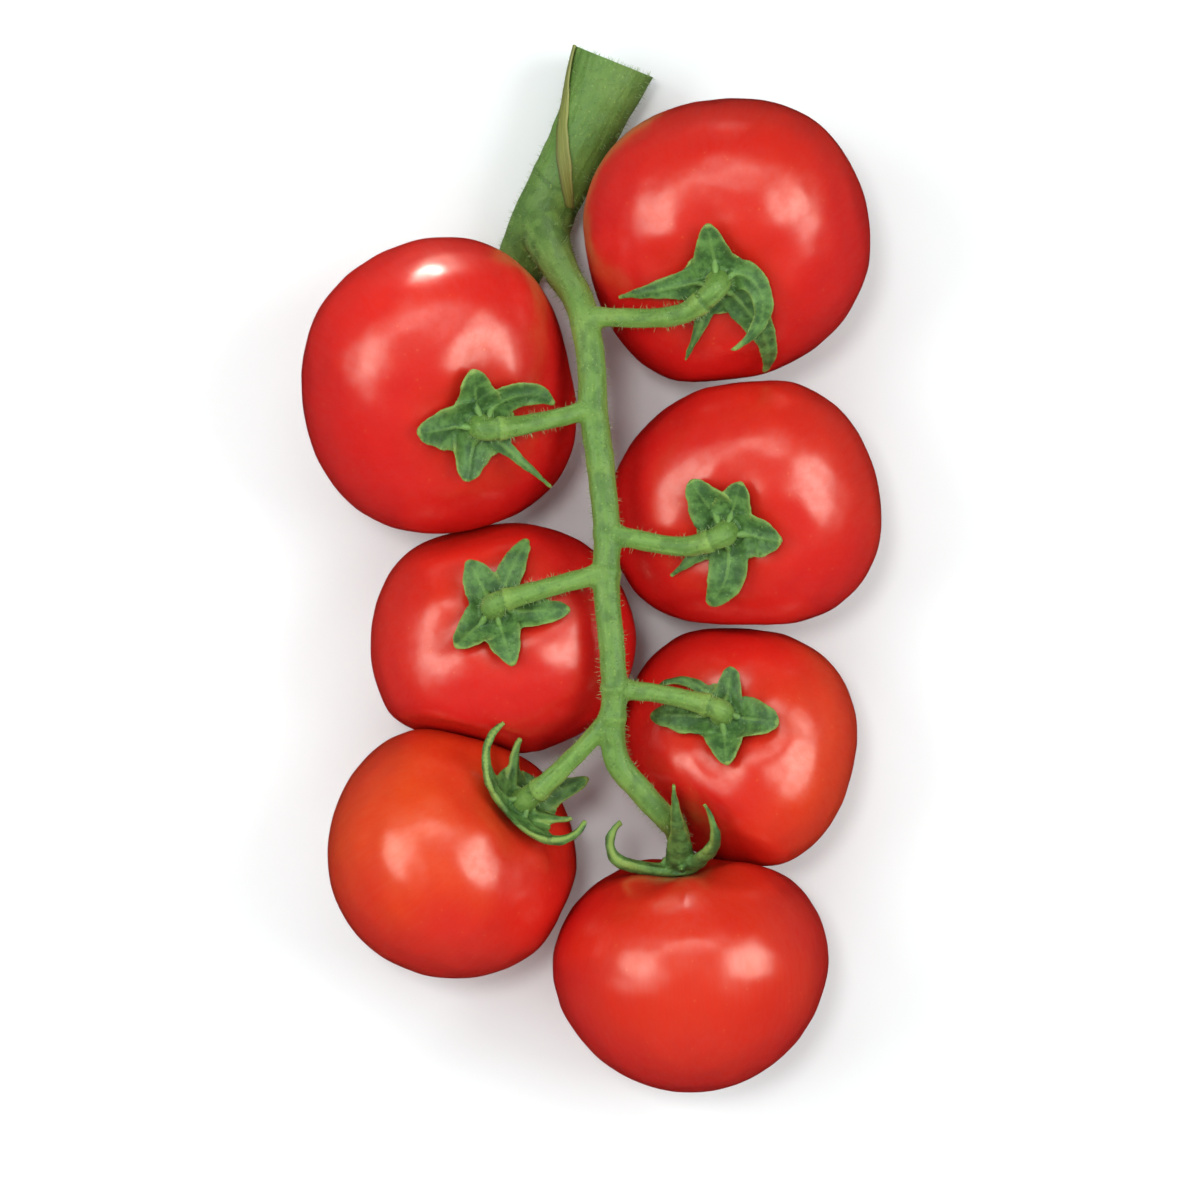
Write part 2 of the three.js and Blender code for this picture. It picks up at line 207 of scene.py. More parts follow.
def bump(tree, height, strength):
    values = {"Height": height, "Strength": strength, "Distance": BUMP_DEPTH}
    return add_node(tree, "ShaderNodeBump", values).outputs["Normal"]


print("bumps are", BUMP_DEPTH, "m deep")

# %% [markdown]
# Blotches show on every living surface here: on the skin as redder and more orange patches, on the
# green pieces as light and dark mottling. Instead of drawing this for each finish, one group does it.
# Its inputs set the coordinates, the size and how hard the patches are, and it puts out a mask.

# %% The blotch group
blotch_group, given, wanted = new_group("blotches", ["Scale", "Start", "End"])
cloud = add_node(
    blotch_group, "ShaderNodeTexNoise",
    {"Vector": given["Place"], "Scale": given["Scale"], "Detail": 4.0, "Roughness": 0.6},
)
patches = add_node(
    blotch_group, "ShaderNodeMapRange",
    {"Value": cloud.outputs["Fac"], "From Min": given["Start"], "From Max": given["End"]},
    interpolation_type="SMOOTHSTEP",
)
blotch_group.links.new(patches.outputs["Result"], wanted["Mask"])


def blotches(tree, place, scale, start, end):
    values = {"Place": place, "Scale": scale, "Start": start, "End": end}
    return add_node(tree, "ShaderNodeGroup", values, node_tree=blotch_group).outputs["Mask"]


# %% [markdown]
# Pale dots also show on several pieces: pores in the skin of the fruit, and the feet of hairs on the
# green. A Voronoi texture measures the distance to scattered points, so small distances are dots. Its
# random cell colour leaves many of the dots out, because an even pattern looks printed.

# %% The dot group
dot_group, given, wanted = new_group("pale_dots", ["Scale", "Size", "Share"])
cells = add_node(
    dot_group, "ShaderNodeTexVoronoi", {"Vector": given["Place"], "Scale": given["Scale"]}
)
round_dot = add_node(
    dot_group, "ShaderNodeMapRange",
    {"Value": cells.outputs["Distance"], "From Min": given["Size"], "From Max": 0.0},
    interpolation_type="SMOOTHSTEP",
)
draw = add_node(dot_group, "ShaderNodeSeparateColor", {"Color": cells.outputs["Color"]})
kept = add_node(
    dot_group, "ShaderNodeMath", {0: draw.outputs["Red"], 1: given["Share"]}, operation="LESS_THAN"
)
dots = add_node(
    dot_group, "ShaderNodeMath", {0: round_dot.outputs["Result"], 1: kept.outputs[0]},
    operation="MULTIPLY",
)
dot_group.links.new(dots.outputs[0], wanted["Mask"])


def pale_dots(tree, place, scale, size, share):
    values = {"Place": place, "Scale": scale, "Size": size, "Share": share}
    return add_node(tree, "ShaderNodeGroup", values, node_tree=dot_group).outputs["Mask"]


# %% [markdown]
# Ripe tomato skin is a thin clear film over red flesh. Light goes in and comes back redder, which is
# subsurface scattering. The film gives the broad soft shine, which is the coat. Its weight has faint
# streaks from end to end of the fruit, so the shine is a little broken up.
# Two attributes of the mesh steer the colour: own_place, the direction from the middle of the fruit in
# its own frame, finds the two ends, and ripeness says how far a spot has gone from orange to red.

# %% Tomato skin
UNRIPE, RIPE = (0.70, 0.052, 0.0070, 1), (0.60, 0.0062, 0.0078, 1)
BLUSH, STREAK = (0.61, 0.0085, 0.0080, 1), (0.66, 0.018, 0.0080, 1)
STEM_END, PORE, BLOSSOM_SCAR = (0.66, 0.040, 0.010, 1), (0.85, 0.22, 0.06, 1), (0.16, 0.085, 0.035, 1)

skin_finish, tree, shader = new_finish("tomato_skin")
place = object_place(tree)
own = attribute(tree, "own_place", "Vector")
own_height = add_node(tree, "ShaderNodeSeparateXYZ", {"Vector": own}).outputs["Z"]
stretch = {"Vector": own, "Scale": (9, 9, 0.9)}
meridians = add_node(tree, "ShaderNodeMapping", stretch).outputs["Vector"]

flesh = mix_colour(tree, attribute(tree, "ripeness"), UNRIPE, RIPE)
colour = layered(tree, flesh, [
    (blotches(tree, place, 55, 0.35, 0.75), 0.5, BLUSH),
    (blotches(tree, meridians, 1.0, 0.45, 0.8), 0.25, STREAK),
    (spread(tree, own_height, 0.80, 0.99), 0.30, STEM_END),
    (pale_dots(tree, place, 520, 0.17, 0.4), 0.30, PORE),
    (spread(tree, own_height, -0.9965, -0.9985), 1.0, BLOSSOM_SCAR),
])
shine = spread(tree, blotches(tree, place, 90, 0.3, 0.7), 0, 1, 0.33, 0.39)
film = spread(tree, blotches(tree, meridians, 2.0, 0.35, 0.70), 0, 1, 1.0, 0.68)
peel = fine_noise(tree, place, 900.0, 2.0)
set_inputs(tree, shader, {
    "Base Color": colour, "Roughness": shine, "Normal": bump(tree, peel, 0.05),
    "Subsurface Weight": 0.22, "Subsurface Radius": (1.0, 0.18, 0.08), "Subsurface Scale": 0.004,
    "Specular IOR Level": 0.75, "Specular Tint": (1.0, 0.48, 0.16, 1),
    "Coat Weight": film, "Coat Roughness": 0.30, "Coat IOR": 1.7,
})

# %% [markdown]
# The sepals are leathery leaves. In the photograph their midribs and margins are pale yellow green and
# the hollows between them are dark. Those two places follow the blade, so the mesh brings them along
# as attributes, and the material only turns them into colour.

# %% Calyx green
LEAF_DARK, LEAF_LIGHT = (0.034, 0.090, 0.019, 1), (0.100, 0.215, 0.046, 1)
MIDRIB, MARGIN = (0.20, 0.35, 0.080, 1), (0.26, 0.36, 0.070, 1)
STAIN, PALE_DOT = (0.020, 0.050, 0.014, 1), (0.34, 0.46, 0.16, 1)
LEAF_GLOW = {
    "Subsurface Weight": 0.08, "Subsurface Radius": (0.5, 1.0, 0.2), "Subsurface Scale": 0.001
}

calyx_finish, tree, shader = new_finish("calyx_green")
place = object_place(tree)
blade = mix_colour(tree, blotches(tree, place, 420, 0.34, 0.68), LEAF_DARK, LEAF_LIGHT)
colour = layered(tree, blade, [
    (spread(tree, attribute(tree, "midrib"), 0.25, 1), 0.62, MIDRIB),
    (attribute(tree, "margin"), 0.75, MARGIN),
    (blotches(tree, place, 900, 0.58, 0.72), 0.55, STAIN),
    (pale_dots(tree, place, 1300, 0.30, 0.25), 0.35, PALE_DOT),
])
grain = fine_noise(tree, place, 1500.0, 4.0)
set_inputs(tree, shader, {
    "Base Color": colour, "Roughness": spread(tree, grain, 0.3, 0.7, 0.48, 0.66),
    "Normal": bump(tree, grain, 0.35), **LEAF_GLOW,
})

# %% [markdown]
# The vine is full of fibres that run along it. The attribute fibre holds, for every point, where it
# lies round and along its own stalk. Noise that is read from it, and squeezed along the stalk, becomes
# long streaks that follow each bend, which noise in plain space can't do.

# %% Vine green
DEEP, DARK = (0.046, 0.110, 0.019, 1), (0.104, 0.212, 0.036, 1)
LIGHT, PALE = (0.175, 0.305, 0.058, 1), (0.265, 0.390, 0.078, 1)

vine_finish, tree, shader = new_finish("vine_green")
place = object_place(tree)
streaks = fine_noise(tree, attribute(tree, "fibre", "Vector"), 1.6, 5.0)
stalk = mix_colour(tree, spread(tree, streaks, 0.30, 0.70, 0.2, 0.9), DARK, LIGHT)
colour = layered(tree, stalk, [
    (blotches(tree, place, 420, 0.50, 0.66), 0.40, DARK),
    (blotches(tree, place, 1100, 0.54, 0.68), 0.45, DEEP),
    (blotches(tree, place, 110, 0.45, 0.70), 0.35, PALE),
    # pale knuckles, and painted light on the sides of the stalks
    (attribute(tree, "pale_knuckles_and_painted_side_light"), 0.45, PALE),
    (attribute(tree, "shade"), 0.70, DEEP),
    (pale_dots(tree, place, 1300, 0.32, 0.45), 0.75, PALE),
])
grain = fine_noise(tree, place, 1600.0, 3.0)
height = add_node(tree, "ShaderNodeMath", {0: streaks, 1: 0.8, 2: grain}, operation="MULTIPLY_ADD")
set_inputs(tree, shader, {
    "Base Color": colour, "Roughness": spread(tree, streaks, 0.3, 0.7, 0.46, 0.62),
    "Normal": bump(tree, height.outputs[0], 0.35), **LEAF_GLOW,
})

# %% [markdown]
# ## The fruits
# A tomato could be sculpted by hand, but a rule is easier to keep true to the solids. Its waist is a
# circle with two, three and four low lobes, seen in the photograph from above. Its height is a
# flattened ball with a hollow at the stem end, five soft ribs round the hollow and a small dimple at
# the other end. Each fruit has a frame of its own, with +Z along its core to the stem end.

# %% The shape of a fruit
HOLLOW_DEPTH, HOLLOW_WIDTH = 3.2, 0.3
DIMPLE_DEPTH, DIMPLE_WIDTH = 0.6, 0.12
SHOULDER = 0.1
RIBS, RIB_HEIGHT, RIB_RING, RIB_WIDTH = 5, 0.35, 0.42, 0.16
SETTLE = 0.4


class Fruit:
    def __init__(self, number, at, radius, flat, lean, toward, oval, egg, square):
        self.number, self.radius, self.half_height = number, radius, radius * flat
        self.lobes = ((2, oval), (3, egg), (4, square))
        self.presses = []
        lean, toward = math.radians(lean), math.radians(toward)
        core = Vector((*round_at(math.sin(lean), toward), math.cos(lean)))
        self.turn = UP.rotation_difference(core)
        rings = [(i * math.pi / 24, j * math.pi / 24) for i in range(25) for j in range(48)]
        lowest = min((self.turn @ self.skin(polar, azimuth)).z for polar, azimuth in rings)
        self.middle = Vector((*at, -lowest - SETTLE))

    def waist(self, azimuth):
        waves = (
            share * math.cos(lobes * (azimuth - math.radians(peak)))
            for lobes, (share, peak) in self.lobes
        )
        return self.radius * (1 + sum(waves))

    def crown(self, share, azimuth, up):
        body = self.half_height * (up + SHOULDER * share * share)
        if up <= 0:
            return body + DIMPLE_DEPTH * bell(share, DIMPLE_WIDTH)
        ribs = RIB_HEIGHT * math.cos(RIBS * azimuth + self.number) * bell(share - RIB_RING, RIB_WIDTH)
        return body + ribs - HOLLOW_DEPTH * bell(share, HOLLOW_WIDTH)

    def skin(self, polar, azimuth):
        share = math.sin(polar)
        ring = self.waist(azimuth) * share
        height = self.crown(share, azimuth, math.cos(polar))
        point = Vector((*round_at(ring, azimuth), height))
        for facing, distance, ease in self.presses:
            point = pressed(point, facing, distance, ease)
        return point

    def height_at(self, x, y):
        azimuth = math.atan2(y, x)
        share = min(math.hypot(x, y) / self.waist(azimuth), 0.97)
        return self.crown(share, azimuth, math.sqrt(1 - share * share))

    def reach(self, direction):
        local = self.turn.inverted() @ direction
        level = math.hypot(local.x, local.y)
        body = math.hypot(level * self.waist(math.atan2(local.y, local.x)), local.z * self.half_height)
        return body + SHOULDER * self.half_height * local.z * level * level

    def press_against(self, direction, distance, ease):
        self.presses.append((self.turn.inverted() @ direction, distance, ease))

    def place(self, point):
        return self.middle + self.turn @ Vector(point)


def pressed(point, facing, distance, ease):
    """Skin past a plane goes back on to it, and eases away from it over a short way."""
    past = point.dot(facing) - distance
    if past <= -ease:
        return point
    return point - facing * (past if past >= ease else (past + ease) ** 2 / (4 * ease))


print("hollow, mm deep:", HOLLOW_DEPTH)

# %% [markdown]
# These are the seven fruits, from the cut end of the truss to its tip, with the values of the solids:
# where the middle lies, the size, which way the stem end leans, and the lobes of the waist. Where two
# fruits touch, both are pressed flat against one plane, as ripe fruit is in a crate. Where the plane
# leans, the front fruit keeps a crisper rim, which hides the narrow gap behind it.

# %% The seven fruits
FRUITS = [
    Fruit(1, (24.1, 59), 26.1, 0.88, 26, -102, (0.02, 57), (0.019, 16), (0.021, -29)),
    Fruit(2, (-28.2, 32.1), 26.2, 0.88, 31, -43, (0.05, -71), (0.024, -37), (0.022, -31)),
    Fruit(3, (28, 10.8), 24, 0.87, 20, -130, (0.052, 14), (0.034, -37), (0.013, -40)),
    Fruit(4, (-16.5, -14.4), 23, 0.87, 19, 98, (0.053, 9), (0.023, 0), (0.013, -40)),
    Fruit(5, (26.7, -33.5), 22.2, 0.83, 25, 119, (0.036, -75), (0.021, 29), (0.015, 33)),
    Fruit(6, (-26.2, -52.8), 23.3, 0.91, 55, 37, (0.01, 37), (0.005, -12), (0.006, 26)),
    Fruit(7, (17.9, -73.7), 24.8, 0.86, 80, 96, (0.01, 0), (0.01, 41), (0.01, -40)),
]
TOUCHING = [(1, 3, 0), (2, 4, 10), (3, 4, 0), (3, 5, 0), (6, 4, 10), (7, 5, 10), (7, 6, 0)]
FRONT_SHARE = 0.4
CLEAR = 0.3
CRISP_RIM, SOFT_RIM = 0.7, 1.5

for front, behind, overhang in TOUCHING:
    one, other = FRUITS[front - 1], FRUITS[behind - 1]
    between = other.middle - one.middle
    apart = between.length
    between.normalize()
    overlap = one.reach(between) + other.reach(between) - apart + CLEAR
    mine = one.reach(between) - overlap * FRONT_SHARE
    facing = (between - UP * math.tan(math.radians(overhang))).normalized()
    square = facing.dot(between)
    one.press_against(facing, mine * square - CLEAR / 2, CRISP_RIM if overhang else SOFT_RIM)
    other.press_against(-facing, (apart - mine) * square - CLEAR / 2, SOFT_RIM)
print("fruit heights in mm:", [round(fruit.middle.z, 2) for fruit in FRUITS])

# %% [markdown]
# ## The lines of the vine
# The stalk, the cut stem and the short fruit stalks are rods along smooth curves. A Catmull-Rom curve
# goes through every point that it is given. It is sampled finely and then spaced out evenly, so that a
# share of the length means the same everywhere.

# %% Curves through points
FINE_STEPS = 24


def spline(points, steps):
    """Points evenly spaced along a smooth curve through the given ones."""
    ends = [points[0] * 2 - points[1], *points, points[-1] * 2 - points[-2]]
    fine = []
    for p0, p1, p2, p3 in zip(ends, ends[1:], ends[2:], ends[3:]):
        d0, d1, d2 = ((b - a).length ** 0.5 for a, b in ((p0, p1), (p1, p2), (p2, p3)))
        leave = ((p1 - p0) / d0 - (p2 - p0) / (d0 + d1) + (p2 - p1) / d1) * d1
        arrive = ((p2 - p1) / d1 - (p3 - p1) / (d1 + d2) + (p3 - p2) / d2) * d1
        curve = (p1 - p2) * 2 + leave + arrive
        bend = (p2 - p1) * 3 - leave * 2 - arrive
        for i in range(FINE_STEPS):
            t = i / FINE_STEPS
            fine.append(p1 + leave * t + bend * t * t + curve * t * t * t)
    fine.append(points[-1])
    gone = [0.0]
    for a, b in zip(fine, fine[1:]):
        gone.append(gone[-1] + (b - a).length)
    even, j = [], 0
    for i in range(steps + 1):
        want = gone[-1] * i / steps
        while j < len(fine) - 2 and gone[j + 1] < want:
            j += 1
        even.append(fine[j].lerp(fine[j + 1], clamp((want - gone[j]) / (gone[j + 1] - gone[j]))))
    return even


def along(values, share):
    """A value read off a list of values spread evenly from 0 to 1."""
    spot = clamp(share) * (len(values) - 1)
    before = min(int(spot), len(values) - 2)
    return mix(values[before], values[before + 1], spot - before)


print("a straight line gives", len(spline([Vector((0, 0, 0)), Vector((1, 0, 0))], 4)), "points")

# %% [markdown]
# The stalk rises out of the stem, runs down the middle of the truss over the fruits and ends in the
# calyx of the last one. Each other fruit hangs on a short stalk that leaves the main one at a given Y
# and bends at an elbow over the fruit before it goes down into the calyx.

# %% Paths of the vine
HUB_HEIGHT = 2.6
SINK = 0.4
STALK_ROOM, STALK_EASE = 2.8, 4
STALK = [
    (-8, 66, 9.5), (-8.4, 60, 14), (-5.8, 53, 23), (-2.2, 46, 32.5), (-0.3, 36, 36.5), (0.2, 27, 37),
    (1.4, 17.5, 37), (2.6, 5, 38), (2.5, -4, 39), (3.2, -13, 40), (3.9, -22.8, 39.5),
    (3.5, -29.5, 38.5), (4.6, -35.6, 37.5), (8.2, -40, 36.8), (12.2, -44.4, 35.6),
]
STEM = [(4, 91.6, 11), (-0.4, 80.8, 12), (-5.8, 70, 12), (-10.4, 60.8, 9.5), (-14, 53, 6.2)]
BRANCHES = [(43.3, 7, 219, 5), (27.4, 7, 5, 4.6), (5, 6.5, 198, 4.6), (-2, 6.5, 16, 4.6),
            (-22.4, 6.5, 163, 4.6), (-27.2, 0, 0, 9)]


def hub_top(fruit):
    return fruit.height_at(0, 0) + HUB_HEIGHT


last = FRUITS[-1]
stalk_end = [last.place((0, 0, hub_top(last) + rise)) for rise in (5, -SINK)]
stalk_path = spline([Vector(point) for point in STALK] + stalk_end, 160)
stem_path = spline([Vector(point) for point in STEM], 60)
short_paths = []
for fruit, (leaves, reach, azimuth, height) in zip(FRUITS, BRANCHES):
    start = min(stalk_path, key=lambda point: abs(point.y - leaves))
    x, y = round_at(reach, math.radians(azimuth))
    elbow = fruit.place((x, y, fruit.height_at(x, y) + height))
    into_hub = [fruit.place((0, 0, hub_top(fruit) + rise)) for rise in (2.3, -SINK)]
    short_paths.append(spline([start, elbow, *into_hub], 40))

beside = FRUITS[4]
nearest = min((point - beside.middle for point in stalk_path), key=lambda offset: offset.length)
beside.press_against(nearest.normalized(), nearest.length - STALK_ROOM, STALK_EASE)
print("short stalks:", len(short_paths))

# %% [markdown]
# ## Tomatoes
# A UV sphere has its poles where a tomato has its two ends, so it is the right start. Every vertex
# moves to the place that the rule gives it, with the rings closer together at the stem end. A slow
# noise adds the slight unevenness that breaks up the shine, and the table presses a flat underneath.
# Ripeness is set for each fruit, with the side that is still orange in the photograph.

# %% Make the tomatoes
RIPENESS = {1: (0.97, 0.22, (0.1, 1, 0)), 2: (0.98, 0.12, (0, 1, 0)), 3: (0.97, 0.22, (0.6, 0.6, 0)),
            4: (0.97, 0.18, (-0.5, 0.5, 0)), 5: (0.90, 0.62, (1, -0.1, 0.2)),
            6: (0.82, 0.85, (-0.5, 0.5, 0.5)), 7: (0.97, 0.32, (0.1, 0.2, 0.9))}
FRUIT_SIDES, FRUIT_RINGS, CROWDING = 144, 100, 1.3
DENTS = [(0.006, 2.6), (0.0058, 5.5), (0.0012, 13)]
TABLE_EASE = 0.3


def tomato_mesh(fruit):
    full, loss, side = RIPENESS[fruit.number]
    orange_side = Vector(side).normalized()
    seed = Vector((fruit.number * 7.3, 0, 0))
    bm = bmesh.new()
    bmesh.ops.create_uvsphere(bm, u_segments=FRUIT_SIDES, v_segments=FRUIT_RINGS, radius=1)
    own_place = bm.verts.layers.float_vector.new("own_place")
    ripe = bm.verts.layers.float.new("ripeness")
    for vert in bm.verts:
        polar = math.pi * (math.acos(clamp(vert.co.z, -1, 1)) / math.pi) ** CROWDING
        azimuth = math.atan2(vert.co.y, vert.co.x)
        own = Vector((*round_at(math.sin(polar), azimuth), math.cos(polar)))
        waves = [noise.noise(own * scale + seed) for _, scale in DENTS]
        dents = sum(depth * wave for (depth, _), wave in zip(DENTS, waves))
        local = fruit.skin(polar, azimuth) * (1 + dents)
        outward = fruit.turn @ own
        vert[own_place] = own
        vert[ripe] = clamp(full - loss * fade(outward.dot(orange_side) + 0.3 * waves[0], -0.1, 0.9))
        vert.co = pressed(fruit.place(local), -UP, 0, TABLE_EASE)
    bmesh.ops.recalc_face_normals(bm, faces=bm.faces)
    return mesh_from(bm, f"fruit_{fruit.number}")


for fruit in FRUITS:
    add_piece(f"fruit_{fruit.number}", tomato_mesh(fruit), [skin_finish],
              f"tomato_{fruit.number}")

# %% [markdown]
# ## Rods and fusing
# A rod starts as a cylinder cut into rings, and each ring moves to its place on the path. The frame
# that carries the rings is turned along from one ring to the next, so the rod never twists.

# %% Rods
def frames_along(path):
    """Two side directions at each point of a path."""
    frames = []
    side = Vector((0, 1, 0.3))
    for i in range(len(path)):
        heading = (path[min(i + 1, len(path) - 1)] - path[max(i - 1, 0)]).normalized()
        side = (side - heading * side.dot(heading)).normalized()
        frames.append((side, heading.cross(side)))
    return frames


def ringed_cylinder(sides, rings):
    """A closed cylinder of radius 1 and height 1, cut into even rings."""
    bm = bmesh.new()
    bmesh.ops.create_cone(bm, cap_ends=True, segments=sides, radius1=1, radius2=1, depth=1)
    uprights = [edge for edge in bm.edges if abs(edge.verts[0].co.z - edge.verts[1].co.z) > 0.5]
    bmesh.ops.subdivide_edges(bm, edges=uprights, cuts=rings - 2)
    return bm


def add_rod(bm, path, radius_at, sides=24):
    rod = ringed_cylinder(sides, len(path))
    frames = frames_along(path)
    for vert in rod.verts:
        ring = round((vert.co.z + 0.5) * (len(path) - 1))
        side, other = frames[ring]
        radius = radius_at(ring / (len(path) - 1))
        vert.co = path[ring] + side * vert.co.x * radius + other * vert.co.y * radius
    bmesh.ops.recalc_face_normals(rod, faces=rod.faces)
    add_all(bm, rod)


def add_all(bm, other):
    """Copies one bmesh into another and frees it."""
    holder = mesh_from(other, "holder")
    bm.from_mesh(holder)
    bpy.data.meshes.remove(holder)


print("rods are ready")

# %% [markdown]
# Grown pieces have no seams. Overlapping shapes are fused by a voxel Remesh, which keeps only their
# outer skin, and a little smoothing afterwards turns the sharp inner corners into fillets. A fused mesh
# has new vertices, and a k-d tree lets each of them find what was there before.

# %% Fusing
def fused(bm, voxel, rounds):
    """One skin round all the closed shapes of a bmesh, as a new bmesh."""
    mesh = mesh_from(bm, "fused")
    holder = new_object("fused", mesh)
    remesh = holder.modifiers.new("one_skin", "REMESH")
    remesh.mode = "VOXEL"
    remesh.voxel_size = voxel
    smooth = holder.modifiers.new("fillets", "SMOOTH")
    smooth.factor = 0.5
    smooth.iterations = rounds
    graph = bpy.context.evaluated_depsgraph_get()
    result = bmesh.new()
    result.from_object(holder, graph)
    bpy.data.objects.remove(holder)
    bpy.data.meshes.remove(mesh)
    return result


def search_tree(places):
    """A k-d tree that finds the nearest of many places quickly."""
    tree = kdtree.KDTree(len(places))
    for i, place in enumerate(places):
        tree.insert(place, i)
    tree.balance()
    return tree


print("fusing is ready")

# %% [markdown]
# ## Calyces
# A calyx is a small hub with five sepals. The table gives each sepal as it lies in the photograph:
# the azimuth of its root, length, width, slope at the root, slope gained by the tip, azimuth gained by
# the tip, and how much of the width a blunt tip keeps.

# %% The sepals of each fruit
Sepal = namedtuple("Sepal", "turn length width rise curl sweep tip")
SEPALS = {
    1: [(98, 10.4, 7.6, 6, 16, 0, 0.26), (185, 17.2, 6.4, 6, 4, 8, 0.1), (249, 15.6, 4, 2, 4, 0, 0.1),
        (318, 19.6, 6, 4, 0, -26, 0.2), (30, 11.6, 6, 12, 44, -106, 0.2)],
    2: [(104, 10, 8.6, 6, 12, 0, 0.32), (181, 11, 9.4, 4, 10, 0, 0.26), (254, 9.2, 8, 8, 18, 0, 0.32),
        (319, 17, 3.4, 18, 6, 0, 0.1), (56, 13, 6.2, 10, 20, -40, 0.3)],
    3: [(121, 10.2, 8.2, 6, 12, 0, 0.38), (71, 9, 7.4, 8, 12, 0, 0.32), (-6, 9.4, 8.2, 8, 16, 0, 0.38),
        (-82, 12.6, 7.6, 6, 10, -24, 0.38), (220, 12.2, 4.6, 0, 4, 0, 0.1)],
    4: [(118, 9, 7.4, 6, 10, 0, 0.26), (67, 13.4, 5.4, 4, 10, 0, 0.32), (229, 9, 7.6, 6, 14, 0, 0.26),
        (288, 10.2, 7.2, 6, 10, 0, 0.26), (-6, 12.2, 6.6, 2, 4, 6, 0.32)],
    5: [(77, 7.6, 5.8, 8, 12, 0, 0.32), (-13, 9.6, 8, 6, 12, 0, 0.38), (-82, 9, 7.4, 6, 12, 0, 0.26),
        (182, 12.2, 7, 0, 4, -6, 0.3), (122, 12.4, 2.8, 4, 8, 34, 0.2)],
    6: [(184, 16.4, 7.6, 10, 80, -62, 0.05), (107, 11.4, 5, 20, 55, 0, 0.1),
        (268, 16, 7.4, 10, 129, 34, 0.05), (16, 13, 5, 24, 54, 0, 0.3),
        (322, 9.4, 4.6, 24, 54, 0, 0.1)],
    7: [(195, 19, 4.4, -6, 172, 0, 0.1), (276, 21.4, 5.0, 45, 36, 0, 0.1),
        (316, 19.6, 4.4, 18, 104, -14, 0.1), (48, 5.4, 5, 0, 0, 0, 0.3), (128, 3.6, 5.4, 0, 0, 0, 0.3)],
}
SEPALS = {number: [Sepal(*row) for row in rows] for number, rows in SEPALS.items()}
print("sepals:", sum(len(group) for group in SEPALS.values()))

# %% [markdown]
# A sepal is a cylinder pressed flat: its sides become the two margins and its length the blade. The
# midline leaves the hub, bends with its slope and turns with its sweep. Where it is low the blade
# follows the skin under it, and where it lifts off it goes its own way. The margins wave a little,
# the midrib stands up as a ridge, and the tip is rounded off.

# %% The shape of a sepal
SEPAL_ROOT, SEPAL_LIFT, SEPAL_CUP = 1.2, 1.0, 0.2
SEPAL_SIDES, SEPAL_RINGS = 40, 37
MIDLINE_STEPS = 16
POINTED = [1.05, 1, 0.70, 0.45, 0.27, 0.10]
LEAST_HALF_WIDTH, MIDRIB_WIDTH = 0.32, 0.55
HORN_SLOPE = 80


def sepal_middle(sepal, share):
    """Where the midline is at a share of its length: x, y and height over the skin."""
    out, lift, step = SEPAL_ROOT, 0.0, share / MIDLINE_STEPS
    for i in range(MIDLINE_STEPS):
        slope = math.radians(sepal.rise + sepal.curl * ((i + 0.5) * step) ** 2)
        out += math.cos(slope) * sepal.length * step
        lift += math.sin(slope) * sepal.length * step
    azimuth = math.radians(sepal.turn + sepal.sweep * share * share)
    return Vector(round_at(out, azimuth)), lift


def sepal_half_width(sepal, share, wave):
    tip = sepal.tip
    blunt_knots = [0.95, 1, 0.86 + 0.3 * tip, 0.62 + 0.6 * tip, 0.36 + 0.75 * tip, tip]
    knots = blunt_knots if tip > 0.15 else POINTED
    half = sepal.width / 2 * mix(along(knots, share - 0.04), along(knots, share + 0.04), 0.5)
    blunt = math.sqrt(max(1 - (max(share - 0.86, 0) / 0.15) ** 2, 0.0))
    ripple = 1 + 0.04 * math.sin(8 * share + wave) + 0.02 * math.sin(21 * share + 2 * wave)
    return max(half * blunt * ripple, LEAST_HALF_WIDTH)


def add_sepal(bm, fruit, sepal, marks):
    wave = fruit.number + sepal.turn
    steepest = sepal.rise + sepal.curl
    horn = fade(steepest, 50, 90) * (0.6 if fruit.number == 6 else 1)
    blade = ringed_cylinder(SEPAL_SIDES, SEPAL_RINGS)
    for vert in blade.verts:
        across, face, share = vert.co.x, vert.co.y, vert.co.z + 0.5
        slope = math.radians(sepal.rise + sepal.curl * share * share)
        here, lift = sepal_middle(sepal, share)
        if steepest > HORN_SLOPE:
            azimuth = math.radians(sepal.turn + sepal.sweep * share * share)
            heading = Vector(round_at(1, azimuth))
        else:
            ahead, back = (sepal_middle(sepal, share + step)[0] for step in (0.01, -0.01))
            heading = (ahead - back).normalized()
        half = sepal_half_width(sepal, share, wave)
        rib = bell(across * half, MIDRIB_WIDTH) * (1 - 0.7 * share)
        flutter = across * abs(across) * 0.35 * math.sin(6 * share + wave) * fade(half, 1.5, 4)
        stout = 1 + 1.9 * horn * (1 - 0.85 * share * share)
        thick = math.copysign(abs(face) ** 0.4, face) * (0.28 + 0.14 * (1 - across * across)) * stout
        thick += across * across * SEPAL_CUP * half + flutter + (0.42 * rib if face > 0 else 0)
        aside = Vector((heading.y, -heading.x)) * across * half
        spot = here + aside - heading * math.sin(slope) * thick
        follow = math.exp(-max(lift, 0) / 3)
        under = mix(fruit.height_at(*here), fruit.height_at(*spot), follow)
        vert.co = (spot.x, spot.y, under + SEPAL_LIFT + lift + math.cos(slope) * thick)
        edge = max(abs(across) ** 7, fade(share, 0.94, 1.0)) * fade(share, 0.2, 0.5)
        marks.append((vert.co.copy(), rib if face > 0 else 0.0, edge))
    bmesh.ops.recalc_face_normals(blade, faces=blade.faces)
    add_all(bm, blade)


print("rings in a sepal:", SEPAL_RINGS)

# %% [markdown]
# Between two neighbours the roots are joined by a web, so the calyx is a star and not five loose
# leaves. The web is a ball pressed flat. At each azimuth it takes its height from the two sepals on
# either side, and it reaches about half as far out as they do.

